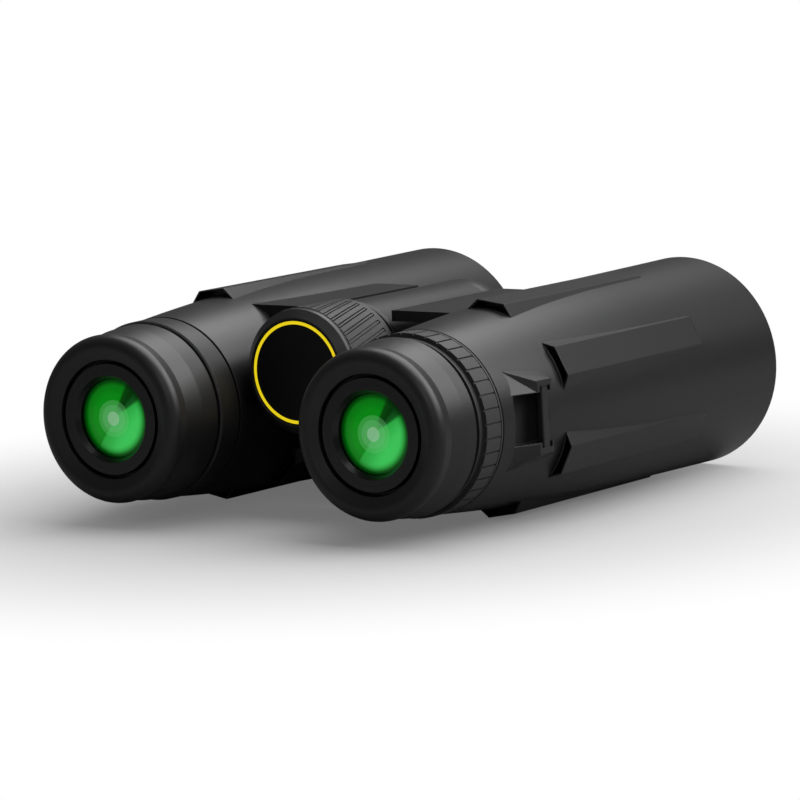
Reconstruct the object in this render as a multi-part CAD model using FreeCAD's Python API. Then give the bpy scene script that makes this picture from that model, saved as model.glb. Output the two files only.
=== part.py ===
"""Roof-prism binoculars, 42 mm objectives, as an assembly of separate pieces.

Frame: +X to the user's right, +Y from the eyepieces to the objectives, +Z up, millimetres. The origin is the
middle of the footprint, on the surface that the barrels lie on. Each barrel is drawn once, in a barrel frame: its
optical axis is Y, y = 0 is the eyecup's rim, and the centre hinge lies towards -X. place() sets it on the right
and mirrors it to the left. Hinge pieces are drawn about their own Y axis and set by at_hinge().
"""

import FreeCAD
import Part

import math
import os

V = FreeCAD.Vector
FULL_TURN = 360.0
ORIGIN = V(0, 0, 0)
ALONG_Y = V(0, 1, 0)

# ---- overall sizes
LENGTH = 143.0
OBJECTIVE_RADIUS = 21.0  # clear aperture radius, 42 mm
HALF_IPD = 37.1  # optical axis to the plane of symmetry, barrels fully open
HINGE_RISE = 9.7  # hinge axis above the optical axes
FOLD_RANGE = 56.0  # degrees, from fully open to the narrowest setting

HINGE_REACH = math.hypot(HALF_IPD, HINGE_RISE)
OPEN_TILT = math.degrees(math.atan2(HINGE_RISE, HALF_IPD))

# ---- fits
RUNNING = 0.06  # radial, shaft in bore
SLIDING = 0.20  # radial, sleeves and rings that turn or slide by hand
BODY_GAP = 0.35  # between pieces of two bodies that only pass each other
SEAM = 0.30  # along Y, between neighbouring rings

# ---- barrel: rigid housing under a rubber armour
ARMOUR_WALL = 1.6
HOUSING_WALL = 1.8
CELL_WALL = 1.6  # round the objective lens, at the rim
ARMOUR_START = 24.3
ARMOUR_START_STEP = 0.7  # armour's near edge, wider than the eyecup beside it
BARREL_MID = 60.0
BARREL_MID_RADIUS = 24.4
BARREL_SHOULDER = 96.0
BARREL_SHOULDER_INSET = 0.55  # smaller than the rim, which is the lowest line of the barrel
RIM_LIP = 1.5  # armour turned in over the housing's end
RIM_ROUND = 1.2
HOOD_FLARE = 1.4  # opening at the rim, wider than the clear aperture

# ---- grip ribs, fading towards the objectives
LUG_ANGLE = 16.15  # centre of the strap lug, degrees from +X in the barrel frame
RIB_STEP = 54.0
RIB_ANGLES = [LUG_ANGLE + RIB_STEP * k for k in (1.5, 0.5, -0.5, -1.5, -2.5)]
RIB_START = 48.2
RIB_END = 109.7
RIB_RISE = 2.0
RIB_TOP_HALF = 3.7
RIB_FOOT_HALF = 6.2
RIB_LIP = 0.35
RIB_POCKET = 3.5

# ---- strap lug
LUG_NEAR = 28.0  # the ramps' near tips
LUG_FAR = 41.2
LUG_CROWN_NEAR = 35.3  # the crowns that hold the bar run from here to the far end
LUG_RISE = 1.5
LUG_WINDOW_HALF = 5.9
LUG_CROWN_HALF = 8.6
LUG_NEAR_SPREAD = 11.9  # the ramps' outer edges on the barrel, each side of the lug's centre
LUG_FAR_SPREAD = 10.3
LUG_LEG = 1.0  # crown left each side of the bar's slot
STRAP_BAR_WIDTH = 2.7
STRAP_BAR_THICK = 1.7
STRAP_BAR_SINK = 0.3  # below the crowns' top
STRAP_BAR_END = 2.0  # held in the crown at each end
STRAP_GAP = 2.8

# ---- hinge and bridge
KNUCKLE_RADIUS = 11.0
HINGE_SKIN = 1.2
WEB_HALF = 8.6
BRIDGE_START = 50.0
REAR_KNUCKLE = 14.0
MIDDLE_KNUCKLE = 21.6
FRONT_KNUCKLE = 18.0
DECK_ABOVE_SKIN = 0.4  # flat top of the bridge, above the knuckles' skin
DECK_THICK = 2.6
DECK_LAP = 0.2  # decks' inner edges, inside the knuckles' skin
DECK_START = 48.8
DECK_END = 96.0
SPINE_WALL = 2.0
SPINE_START = 49.6
SPINE_SHOULDER = 95.0
SPINE_RIGHT_ANGLE = 30.0  # the cover's edges, from +X towards +Z
SPINE_LEFT_ANGLE = 120.0
AXLE_RADIUS = 7.0
AXLE_WALL = 1.4
AXLE_FLANGE_INSET = 1.4  # flange and end nut, smaller than the knuckles
AXLE_FLANGE_THICK = 1.6
END_NUT_INSET = 0.6
END_NUT_THICK = 3.2
TRIPOD_RADIUS = 2.55  # tapping radius of a 1/4-20 thread
TRIPOD_DEPTH = 10.0

# ---- focus drive
WHEEL_START = 25.6
WHEEL_END = 46.6
WHEEL_RADIUS = 15.2
WHEEL_CAP_THICK = 3.2
WHEEL_BEVEL = 2.2  # the cap's sloping edge, radially
BADGE_INSET = 2.6
BADGE_THICK = 0.8
GRIP_WALL = 2.2
GRIP_GROOVES = 40
GRIP_GROOVE_WIDTH = 1.05
GRIP_LINE = 0.30  # width of the line cut round each raised bar
GRIP_GROOVE_DEPTH = 0.6
GRIP_SLANT = 14.0  # degrees, the bars against the wheel's axis
GRIP_GROOVE_MARGIN = 1.3
SCREW_RADIUS = 3.0
THREAD_DEPTH = 0.35
SCREW_LEAD = 10.0 / 3.0
FOCUS_TRAVEL = 2.5  # each way
LEFT_ARM_SHIFT = 2.0  # arms, ahead of the middle of their knuckles
RIGHT_ARM_SHIFT = -0.65
CARRIER_NEAR = 3.0  # carrier beyond the middle of the arms
CARRIER_FAR = 5.5
SCREW_SPARE = 1.5  # screw beyond the carrier's travel
CARRIER_GROOVE = 0.9
ARM_WIDTH = 3.0
ARM_THICK = 2.6
FOCUS_CELL_Y = 93.0
FOCUS_CELL_LENGTH = 6.0
FOCUS_CELL_WALL = 2.5
FOCUS_LENS_RADIUS = 14.5
ARM_RAIL = 2.0

# ---- objective
OBJECTIVE_RECESS = 19.0  # objective's seat, inside the rim
OBJECTIVE_CROWN = 6.0
OBJECTIVE_FLINT = 3.0
CELL_LENGTH = 11.0
RETAINER_THICK = 2.6
SEAL_SECTION = 0.6

# ---- prisms
PRISM_START = 48.0
PRISM_WIDTH = 15.0
PRISM_HALF_HEIGHT = 14.0
ROOF_PRISM_LENGTH = 15.0
HALF_PRISM_LENGTH = 14.0
PRISM_AIR = 0.4
CAGE_WALL = 1.6
CAGE_FLANGE_LIP = 2.0
CAGE_FLANGE_THICK = 2.0
STOP_RADIUS = 8.0

# ---- eyepiece
MOUNT_SLEEVE = 2.6  # mount outside the ocular's sliding fit
MOUNT_WALL = 1.2
MOUNT_FLANGE = 5.0
OCULAR_START = 1.5
OCULAR_WALL = 1.6
OCULAR_REAR_STEP = 1.3
OCULAR_STEP = 16.5
OCULAR_END = 38.0
OCULAR_BORE = 11.6
EYE_LENS_INSET = 0.4  # lens smaller than the tube's bore
EYE_LENS_Y = 2.7
RETAINER_SEAT = 1.2  # retainer's face inside the tube's bore
RETAINER_CONE = 0.9

# ---- eyecup
CUP_END = 16.4
CUP_WALL = 1.5  # rubber at the neck
CUP_RIM_SWELL = 0.3
CUP_TAIL_SWELL = 1.2
CUP_RIM_ROUND = 2.7
CUP_FACE_DEPTH = 1.3
CORE_WALL = 0.8
CORE_WEB_START = 2.6
CORE_WEB = 2.4
SLEEVE_WALL = 0.8
SLEEVE_START = 3.4
DIOPTRE_TRAVEL = 1.2  # each way, the right ocular and its eyecup
END_ROOM = 0.4  # left along Y at the end of a travel

# ---- collar and dioptre ring
COLLAR_START = 16.8
COLLAR_INSET = 0.1  # smaller than the armour beside it
RING_NECK = 15.8
RING_NECK_INSET = 1.1
RING_TILES = 40
RING_TILE_GROOVE = 0.5
RING_TILE_DEPTH = 0.35


# ---- sizes that follow from those above
RIM_RADIUS = OBJECTIVE_RADIUS + CELL_WALL + HOUSING_WALL + ARMOUR_WALL
AXIS_Z = RIM_RADIUS
HINGE_Z = AXIS_Z + HINGE_RISE
BARREL_SHOULDER_RADIUS = RIM_RADIUS - BARREL_SHOULDER_INSET
OBJECTIVE_SEAT = LENGTH - OBJECTIVE_RECESS
HOOD_RADIUS = OBJECTIVE_RADIUS + HOOD_FLARE
DECK_RISE = KNUCKLE_RADIUS + HINGE_SKIN + DECK_ABOVE_SKIN
DECK_INNER = KNUCKLE_RADIUS + HINGE_SKIN - DECK_LAP
AXLE_BORE = AXLE_RADIUS - AXLE_WALL
AXLE_FLANGE = KNUCKLE_RADIUS - AXLE_FLANGE_INSET
END_NUT_RADIUS = KNUCKLE_RADIUS - END_NUT_INSET
WHEEL_FACE_RADIUS = WHEEL_RADIUS - WHEEL_BEVEL
BADGE_RADIUS = WHEEL_RADIUS - BADGE_INSET
CAGE_FLANGE_RADIUS = PRISM_HALF_HEIGHT + CAGE_WALL + CAGE_FLANGE_LIP
FOCUS_CELL_RADIUS = FOCUS_LENS_RADIUS + FOCUS_CELL_WALL
EYE_LENS_RADIUS = OCULAR_BORE - EYE_LENS_INSET
RETAINER_FACE = OCULAR_BORE - RETAINER_SEAT
EYE_APERTURE = RETAINER_FACE - RETAINER_CONE
OCULAR_FRONT_RADIUS = OCULAR_BORE + OCULAR_WALL
OCULAR_REAR_RADIUS = OCULAR_FRONT_RADIUS + OCULAR_REAR_STEP
MOUNT_BORE = OCULAR_REAR_RADIUS + SLIDING
MOUNT_RADIUS = MOUNT_BORE + MOUNT_SLEEVE
CORE_RADIUS = MOUNT_RADIUS + SLIDING + CORE_WALL
CUP_NECK_RADIUS = CORE_RADIUS + CUP_WALL
CUP_RIM_RADIUS = CUP_NECK_RADIUS + CUP_RIM_SWELL
CUP_TAIL_RADIUS = CUP_NECK_RADIUS + CUP_TAIL_SWELL
CUP_MOUTH = OCULAR_FRONT_RADIUS + SLIDING + SLEEVE_WALL
ARMOUR_START_RADIUS = CUP_TAIL_RADIUS + ARMOUR_START_STEP
COLLAR_RADIUS = ARMOUR_START_RADIUS - COLLAR_INSET
RING_NECK_RADIUS = COLLAR_RADIUS - RING_NECK_INSET
RIGHT_CUP_END = RING_NECK - DIOPTRE_TRAVEL - END_ROOM / 2
CORE_WEB_END = CORE_WEB_START + CORE_WEB
MOUNT_START = CORE_WEB_END + DIOPTRE_TRAVEL + END_ROOM


def barrel_radius(y, inset=0.0):
    """Armour's outer radius at y, less inset. The tapered length is a circular arc and the rest is a cone."""
    if y >= BARREL_SHOULDER:
        share = (y - BARREL_SHOULDER) / (LENGTH - BARREL_SHOULDER)
        return BARREL_SHOULDER_RADIUS + share * (RIM_RADIUS - BARREL_SHOULDER_RADIUS) - inset
    (x1, y1), (x2, y2), (x3, y3) = (
        (ARMOUR_START, ARMOUR_START_RADIUS),
        (BARREL_MID, BARREL_MID_RADIUS),
        (BARREL_SHOULDER, BARREL_SHOULDER_RADIUS),
    )
    a = y1 * (y - x2) * (y - x3) / ((x1 - x2) * (x1 - x3))
    b = y2 * (y - x1) * (y - x3) / ((x2 - x1) * (x2 - x3))
    c = y3 * (y - x1) * (y - x2) / ((x3 - x1) * (x3 - x2))
    return a + b + c - inset


# ---------------------------------------------------------------- drawing helpers


def turned(*outline):
    """Solid of revolution about Y from (radius, y) corners."""
    points = [V(r, y, 0) for r, y in outline]
    wire = Part.makePolygon(points + [points[0]])
    return Part.Face(wire).revolve(ORIGIN, ALONG_Y, FULL_TURN)


def ring(inner, outer, start, end):
    return turned((inner, start), (outer, start), (outer, end), (inner, end))


def rod(radius, start, end):
    return Part.makeCylinder(radius, end - start, V(0, start, 0), ALONG_Y)


def lens(radius, start, edge, front_sag, back_sag):
    """Lens with its edge from start to start + edge. A sag above 0 bulges outwards, and below 0 hollows the face."""
    end = start + edge

    def face(y, sag):
        return Part.Arc(V(0, y + sag, 0), V(radius * 0.5, y + sag * 0.75, 0), V(radius, y, 0)).toShape()

    edges = [
        face(start, -front_sag),
        Part.LineSegment(V(radius, start, 0), V(radius, end, 0)).toShape(),
        face(end, back_sag),
        Part.LineSegment(V(0, start - front_sag, 0), V(0, end + back_sag, 0)).toShape(),
    ]
    wire = Part.Wire(Part.__sortEdges__(edges))
    return Part.Face(wire).revolve(ORIGIN, ALONG_Y, FULL_TURN)


def block(x0, x1, y0, y1, z0, z1):
    return Part.makeBox(x1 - x0, y1 - y0, z1 - z0, V(x0, y0, z0))


def prism_along_y(corners, start, end):
    """Straight prism along Y from (x, z) corners."""
    points = [V(x, start, z) for x, z in corners]
    face = Part.Face(Part.makePolygon(points + [points[0]]))
    return face.extrude(V(0, end - start, 0))


def prism_along_x(corners, width):
    """Straight prism centred across X from (y, z) corners."""
    points = [V(-width / 2, y, z) for y, z in corners]
    face = Part.Face(Part.makePolygon(points + [points[0]]))
    return face.extrude(V(width, 0, 0))


def spun(shape, angle, centre=ORIGIN):
    """Copy turned about Y so that +X goes to the direction at that angle from +X towards +Z."""
    copy = shape.copy()
    copy.rotate(centre, ALONG_Y, -angle)
    return copy


def joined(first, *others):
    return first.fuse(list(others)).removeSplitter()


def place(shape, side):
    """Barrel frame to the part's frame."""
    copy = shape.copy()
    copy.rotate(ORIGIN, ALONG_Y, OPEN_TILT)
    copy.translate(V(HALF_IPD, -LENGTH / 2, AXIS_Z))
    return copy if side == "right" else copy.mirror(ORIGIN, V(1, 0, 0))


def at_hinge(shape):
    copy = shape.copy()
    copy.translate(V(0, -LENGTH / 2, HINGE_Z))
    return copy


def hinge_rod(radius, start, end):
    """Rod on the hinge axis, in the barrel frame."""
    return Part.makeCylinder(radius, end - start, V(-HINGE_REACH, start, 0), ALONG_Y)


def save(node, *solids):
    shape = solids[0] if len(solids) == 1 else Part.makeCompound(list(solids))
    parts = shape.Solids
    shape = parts[0] if len(parts) == 1 else Part.makeCompound(parts)
    shape.exportStep(os.path.join("parts", node + ".step"))
    print(node, "solids", len(parts), "valid", shape.isValid(), "cm3", round(shape.Volume / 1000, 3))


# ---------------------------------------------------------------- bridge layout

MIDDLE_START = BRIDGE_START + REAR_KNUCKLE + BODY_GAP
FRONT_START = MIDDLE_START + MIDDLE_KNUCKLE + BODY_GAP
BRIDGE_END = FRONT_START + FRONT_KNUCKLE
KNUCKLES = {
    "left": [(BRIDGE_START, BRIDGE_START + REAR_KNUCKLE), (FRONT_START, BRIDGE_END)],
    "right": [(MIDDLE_START, MIDDLE_START + MIDDLE_KNUCKLE)],
}
OTHER = {"left": "right", "right": "left"}
LEFT_ARM_Y = BRIDGE_START + REAR_KNUCKLE / 2 + LEFT_ARM_SHIFT
RIGHT_ARM_Y = MIDDLE_START + MIDDLE_KNUCKLE / 2 + RIGHT_ARM_SHIFT
ARM_Y = {"left": LEFT_ARM_Y, "right": RIGHT_ARM_Y}
CARRIER_START = LEFT_ARM_Y - CARRIER_NEAR
CARRIER_STOP = RIGHT_ARM_Y + CARRIER_FAR
SCREW_END = CARRIER_STOP + FOCUS_TRAVEL + SCREW_SPARE
SKIN_RADIUS = {"left": KNUCKLE_RADIUS + HINGE_SKIN, "right": KNUCKLE_RADIUS + HINGE_SKIN - BODY_GAP}
SPINE_BORE = SKIN_RADIUS["left"]
SPINE_RADIUS = SPINE_BORE + SPINE_WALL


def barrel_solid(inset, start, end):
    """Solid barrel, filled to the axis. Every one with the same inset follows the same curve."""
    first = ARMOUR_START - 1
    middle = (first + BARREL_SHOULDER) / 2
    profile = [V(barrel_radius(y, inset), y, 0) for y in (first, middle, BARREL_SHOULDER, end)]
    corners = profile[2:] + [V(0, end, 0), V(0, first, 0), profile[0]]
    edges = [Part.Arc(*profile[:3]).toShape()]
    edges += [Part.LineSegment(a, b).toShape() for a, b in zip(corners, corners[1:])]
    wire = Part.Wire(Part.__sortEdges__(edges))
    solid = Part.Face(wire).revolve(ORIGIN, ALONG_Y, FULL_TURN)
    return solid if start <= first else solid.cut(rod(2 * RIM_RADIUS, first - 1, start))


def bridge_solids(side, radius, web_half):
    """Knuckles and the webs that carry them, filled."""
    made = []
    for start, end in KNUCKLES[side]:
        made.append(hinge_rod(radius, start, end))
        made.append(block(-HINGE_REACH, 0, start, end, -web_half, web_half))
    return made


def deck_solids(side, inset):
    """Flat deck beside the hinge, with the uprights that stand on this barrel's webs, less inset."""
    low = HINGE_RISE + DECK_RISE - DECK_THICK
    high = HINGE_RISE + DECK_RISE - inset
    inner = DECK_INNER + inset - HALF_IPD
    made = [block(inner, 0, DECK_START + inset, DECK_END - inset, low, high)]
    for start, end in KNUCKLES[side]:
        end = min(end, DECK_END - inset)
        made.append(block(inner, 0, start, end, HINGE_RISE, high))
    for shape in made:
        shape.rotate(ORIGIN, ALONG_Y, -OPEN_TILT)
    return made


def hinge_sector(inner, outer, start, end, first, last):
    """Sector of a ring about the hinge axis, between two angles from +X towards +Z."""
    sector = Part.makeCylinder(outer, end - start, V(0, start, 0), ALONG_Y, last - first)
    middle = sector.CenterOfMass
    now = math.degrees(math.atan2(middle.z, middle.x))
    return spun(sector, (first + last) / 2 - now).cut(rod(inner, start - 1, end + 1))


def spine_room(side):
    """What a barrel's webs and deck give up for the spine cover, over the whole fold."""
    first, last = SPINE_RIGHT_ANGLE, SPINE_LEFT_ANGLE
    if side == "left":
        first, last = 180 - last, 180 - first
    margin = math.degrees(BODY_GAP / SPINE_BORE)
    room = hinge_sector(
        SKIN_RADIUS[side],
        SPINE_RADIUS + BODY_GAP,
        SPINE_START - BODY_GAP,
        BRIDGE_END + BODY_GAP,
        first - margin,
        last + margin + (FOLD_RANGE if side == "right" else 0),
    )
    room.rotate(ORIGIN, ALONG_Y, -OPEN_TILT)
    shift = V(-HINGE_REACH, 0, 0)
    room.translate(shift)
    return room


def bridge_clearance(side):
    """What a barrel gives up for the wheel, the spine cover, the end nut and the other barrel's knuckles."""
    wheel = hinge_rod(WHEEL_RADIUS + BODY_GAP, ARMOUR_START - 1, DECK_START)
    reach = SKIN_RADIUS[OTHER[side]] + BODY_GAP
    near = hinge_rod(reach, DECK_START, BRIDGE_START)
    others = [hinge_rod(reach, start - BODY_GAP, end + BODY_GAP) for start, end in KNUCKLES[OTHER[side]]]
    nut = hinge_rod(END_NUT_RADIUS + BODY_GAP, BRIDGE_END, BRIDGE_END + END_NUT_THICK + BODY_GAP)
    return [wheel, near, nut, spine_room(side)] + others


# ---------------------------------------------------------------- housing


LUG_TOP = barrel_radius((LUG_NEAR + LUG_FAR) / 2) + LUG_RISE
BAR_TOP = LUG_TOP - STRAP_BAR_SINK
LUG_FLOOR = BAR_TOP - STRAP_BAR_THICK - STRAP_GAP


def lug_pocket():
    """Passage for the strap under the bar, with a flat floor that slopes down from the eyepiece side."""
    half = LUG_WINDOW_HALF
    surface = barrel_radius(LUG_NEAR)
    corners = [
        (LUG_NEAR + 0.5, surface - 0.25),
        (LUG_NEAR + 0.5, LUG_TOP + 2),
        (LUG_FAR, LUG_TOP + 2),
        (LUG_FAR, LUG_FLOOR),
        (LUG_NEAR + 4.0, LUG_FLOOR),
    ]
    points = [V(x, y, -half) for y, x in corners]
    face = Part.Face(Part.makePolygon(points + [points[0]]))
    return spun(face.extrude(V(0, 0, 2 * half)), LUG_ANGLE)


def bar_slot():
    """Slot in each crown that the bar's end lies in."""
    half = LUG_WINDOW_HALF + STRAP_BAR_END - 0.7
    low = BAR_TOP - STRAP_BAR_THICK - 0.4
    slot = block(low, LUG_TOP + 1, LUG_CROWN_NEAR + LUG_LEG, LUG_FAR - LUG_LEG * 0.6, -half, half)
    return spun(slot, LUG_ANGLE)


def arm_slot(side):
    """Way through web and wall for the focusing arm, with room for its travel."""
    y = ARM_Y[side]
    reach = FOCUS_TRAVEL + ARM_WIDTH / 2 + BODY_GAP
    half = ARM_THICK / 2 + BODY_GAP
    return block(-HINGE_REACH, -FOCUS_CELL_RADIUS, y - reach, y + reach, -half, half)


def housing(side):
    """Rigid shell with its share of the bridge, the prism seat, the objective seat and the lug's floor."""
    start = ARMOUR_START + 0.5
    end = LENGTH - RIM_LIP
    outer = barrel_solid(ARMOUR_WALL, start, end)
    bore = barrel_solid(ARMOUR_WALL + HOUSING_WALL, start, end)
    floor = block(
        LUG_FLOOR - HOUSING_WALL,
        barrel_radius(LUG_NEAR, ARMOUR_WALL),
        LUG_NEAR - HOUSING_WALL,
        LUG_FAR + HOUSING_WALL,
        -LUG_WINDOW_HALF - HOUSING_WALL,
        LUG_WINDOW_HALF + HOUSING_WALL,
    )
    bridge = bridge_solids(side, SKIN_RADIUS[side] - HINGE_SKIN, WEB_HALF) + deck_solids(side, ARMOUR_WALL)
    shell = joined(outer, *bridge).cut(bore)
    mount_end = start + MOUNT_FLANGE
    mount_room = rod(barrel_radius(start, ARMOUR_WALL + HOUSING_WALL), start - 1, mount_end)
    shell = joined(shell, spun(floor, LUG_ANGLE).common(outer).cut(mount_room))
    prism_seat = ring(
        CAGE_FLANGE_RADIUS - 1.6,
        barrel_radius(PRISM_START, ARMOUR_WALL + HOUSING_WALL / 2),
        PRISM_START - CAGE_FLANGE_THICK - 1.4,
        PRISM_START - CAGE_FLANGE_THICK,
    )
    objective_seat = ring(
        OBJECTIVE_RADIUS - 1.4,
        barrel_radius(OBJECTIVE_SEAT, ARMOUR_WALL + HOUSING_WALL / 2),
        OBJECTIVE_SEAT - 2.0,
        OBJECTIVE_SEAT,
    )
    shell = joined(shell, prism_seat, objective_seat)
    axle_way = hinge_rod(AXLE_RADIUS + RUNNING, BRIDGE_START - 1, BRIDGE_END + 1)
    return shell.cut([axle_way, arm_slot(side), lug_pocket(), bar_slot()] + bridge_clearance(side))


# ---------------------------------------------------------------- armour


def polyhedron(faces):
    """Solid with flat faces, each given by its corners, all turned to face outwards."""
    corners = [corner for face in faces for corner in face]
    middle = V(0, 0, 0)
    for corner in corners:
        middle += corner * (1 / len(corners))
    made = []
    for face in faces:
        normal = (face[1] - face[0]).cross(face[2] - face[1])
        if normal.dot(face[0] - middle) < 0:
            face = face[::-1]
        made.append(Part.Face(Part.makePolygon(list(face) + [face[0]])))
    shell = Part.makeShell(made)
    shell.sewShape()
    return Part.makeSolid(shell)


def rib_body(lip=0.0):
    """Rib with a flat top that the swelling barrel meets at the far end, less a lip on top and flanks."""
    top = barrel_radius(RIB_START) + RIB_RISE - lip
    end_top = barrel_radius(RIB_END) + 0.12
    foot = barrel_radius(RIB_START) - ARMOUR_WALL / 2
    lean = (RIB_FOOT_HALF - RIB_TOP_HALF) / (RIB_RISE + RIB_FOOT_HALF**2 / (2 * barrel_radius(RIB_START)))
    low_half = RIB_TOP_HALF - lip + lean * (top - foot)
    top_half = RIB_TOP_HALF - lip
    section = [(foot, -low_half), (top, -top_half), (top, top_half), (foot, low_half)]
    bar = prism_along_y(section, RIB_START, RIB_END)
    if lip:
        return bar
    above = above_rib(top, end_top)
    return bar.cut(above)


def above_rib(near, far):
    """What lies above a rib's sloping flat top."""
    wide = 2 * RIB_FOOT_HALF
    high = max(near, far) + 5
    corners = [(RIB_START, near), (RIB_END + 1, far), (RIB_END + 1, high), (RIB_START - 1, high), (RIB_START - 1, near)]
    points = [V(x, y, -wide) for y, x in corners]
    return Part.Face(Part.makePolygon(points + [points[0]])).extrude(V(0, 0, 2 * wide))


def rib(angle):
    return spun(rib_body(), angle)


def rib_pocket(angle):
    """Dark slot in the rib's near end, leaving an even lip all round."""
    mouth = rib_body(RIB_LIP).common(block(0, 2 * RIM_RADIUS, RIB_START, RIB_START + RIB_POCKET, -20, 20))
    mouth.translate(V(0, -0.01, 0))
    keep = rod(barrel_radius(RIB_START) + RIB_LIP * 0.6, RIB_START - 1, RIB_START + RIB_POCKET + 1)
    return spun(mouth.cut(keep), angle)


def lug_ramps():
    """Two flat-faced ramps that rise to the crowns holding the strap bar's ends."""
    near_level = math.sqrt(barrel_radius(LUG_NEAR) ** 2 - LUG_NEAR_SPREAD**2) - 0.1
    far_level = math.sqrt(barrel_radius(LUG_FAR) ** 2 - LUG_FAR_SPREAD**2) - 0.1
    inner_level = math.sqrt(barrel_radius(LUG_NEAR) ** 2 - LUG_WINDOW_HALF**2) - 0.1
    low = near_level - ARMOUR_WALL
    made = []
    for flip in (1, -1):

        def at(x, y, z):
            return V(x, y, flip * z)

        a = at(near_level, LUG_NEAR, LUG_NEAR_SPREAD)
        b = at(far_level, LUG_FAR, LUG_FAR_SPREAD)
        c = at(LUG_TOP, LUG_CROWN_NEAR, LUG_CROWN_HALF)
        d = at(LUG_TOP, LUG_FAR, LUG_CROWN_HALF)
        e = at(LUG_TOP, LUG_CROWN_NEAR, LUG_WINDOW_HALF)
        f = at(LUG_TOP, LUG_FAR, LUG_WINDOW_HALF)
        g = at(inner_level, LUG_NEAR, LUG_WINDOW_HALF)
        a0 = at(low, LUG_NEAR, LUG_NEAR_SPREAD)
        b0 = at(low, LUG_FAR, LUG_FAR_SPREAD)
        f0 = at(low, LUG_FAR, LUG_WINDOW_HALF)
        g0 = at(low, LUG_NEAR, LUG_WINDOW_HALF)
        faces = [
            (a, c, d),
            (a, d, b),
            (c, e, f, d),
            (a, g, e),
            (a, e, c),
            (g, g0, f0, f, e),
            (b, d, f, f0, b0),
            (a, b, b0, a0),
            (a, a0, g0, g),
            (a0, b0, f0, g0),
        ]
        made.append(spun(polyhedron(faces), LUG_ANGLE))
    return made


def armour(side):
    """Rubber skin over barrel, webs and knuckles, with ribs, lug ramps and the turned-in rim."""
    body = barrel_solid(0, ARMOUR_START, LENGTH)
    rim = [e for e in body.Edges if abs(e.BoundBox.YMin - LENGTH) < 0.01 and e.BoundBox.XLength > RIM_RADIUS]
    body = body.makeFillet(RIM_ROUND, rim)
    bridge = bridge_solids(side, SKIN_RADIUS[side], WEB_HALF + HINGE_SKIN) + deck_solids(side, 0.0)
    skin = joined(body, *bridge, *[rib(a) for a in RIB_ANGLES], *lug_ramps())
    core_bridge = bridge_solids(side, SKIN_RADIUS[side] - HINGE_SKIN, WEB_HALF) + deck_solids(side, ARMOUR_WALL)
    core = joined(barrel_solid(ARMOUR_WALL, 0, LENGTH - RIM_LIP), *core_bridge)
    cuts = [core, rod(HOOD_RADIUS, LENGTH - 3, LENGTH + 1), lug_pocket(), bar_slot(), arm_slot(side)]
    cuts += [rib_pocket(a) for a in RIB_ANGLES]
    cuts += bridge_clearance(side)
    return skin.cut(cuts)


def strap_bar():
    """Flat bar with rounded long edges across the strap passage, let into the crowns."""
    half = LUG_WINDOW_HALF + STRAP_BAR_END
    middle = (LUG_CROWN_NEAR + LUG_FAR) / 2 + 0.7
    near, far = middle - STRAP_BAR_WIDTH / 2, middle + STRAP_BAR_WIDTH / 2
    bar = block(BAR_TOP - STRAP_BAR_THICK, BAR_TOP, near, far, -half, half)
    long_edges = [e for e in bar.Edges if e.BoundBox.ZLength > half]
    return spun(bar.makeFillet(0.4, long_edges), LUG_ANGLE)


# ---------------------------------------------------------------- objective group


def objective_parts():
    wall = barrel_radius(OBJECTIVE_SEAT, ARMOUR_WALL + HOUSING_WALL)
    cell_outer = wall - 0.02
    lens_start = OBJECTIVE_SEAT + 1.2
    flint = lens(OBJECTIVE_RADIUS, lens_start, OBJECTIVE_FLINT, -0.6, -1.8)
    crown = lens(OBJECTIVE_RADIUS, lens_start + OBJECTIVE_FLINT, OBJECTIVE_CROWN - 3.6, 1.8, 1.8)
    lens_end = lens_start + OBJECTIVE_FLINT + OBJECTIVE_CROWN - 3.6
    cell = turned(
        (OBJECTIVE_RADIUS - 1.0, OBJECTIVE_SEAT),
        (cell_outer, OBJECTIVE_SEAT),
        (cell_outer, OBJECTIVE_SEAT + CELL_LENGTH),
        (OBJECTIVE_RADIUS + 0.05, OBJECTIVE_SEAT + CELL_LENGTH),
        (OBJECTIVE_RADIUS + 0.05, lens_start),
        (OBJECTIVE_RADIUS - 1.0, lens_start),
    )
    ring_end = OBJECTIVE_SEAT + CELL_LENGTH + RETAINER_THICK
    mouth = barrel_radius(ring_end, ARMOUR_WALL + HOUSING_WALL) - 0.1
    retainer = turned(
        (OBJECTIVE_RADIUS - 0.7, lens_end + 0.2),
        (OBJECTIVE_RADIUS, lens_end),
        (OBJECTIVE_RADIUS, OBJECTIVE_SEAT + CELL_LENGTH),
        (cell_outer, OBJECTIVE_SEAT + CELL_LENGTH),
        (mouth, ring_end),
        (OBJECTIVE_RADIUS + 0.5, ring_end),
    )
    seal_y = OBJECTIVE_SEAT + CELL_LENGTH + RETAINER_THICK + SEAL_SECTION
    seal_radius = barrel_radius(seal_y, ARMOUR_WALL + HOUSING_WALL) - SEAL_SECTION - 0.05
    seal = Part.makeTorus(seal_radius, SEAL_SECTION, V(0, seal_y, 0), ALONG_Y)
    return {
        "objective_lens": [flint, crown],
        "objective_cell": [cell],
        "objective_retainer": [retainer],
        "objective_seal": [seal],
    }


# ---------------------------------------------------------------- prisms


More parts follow.
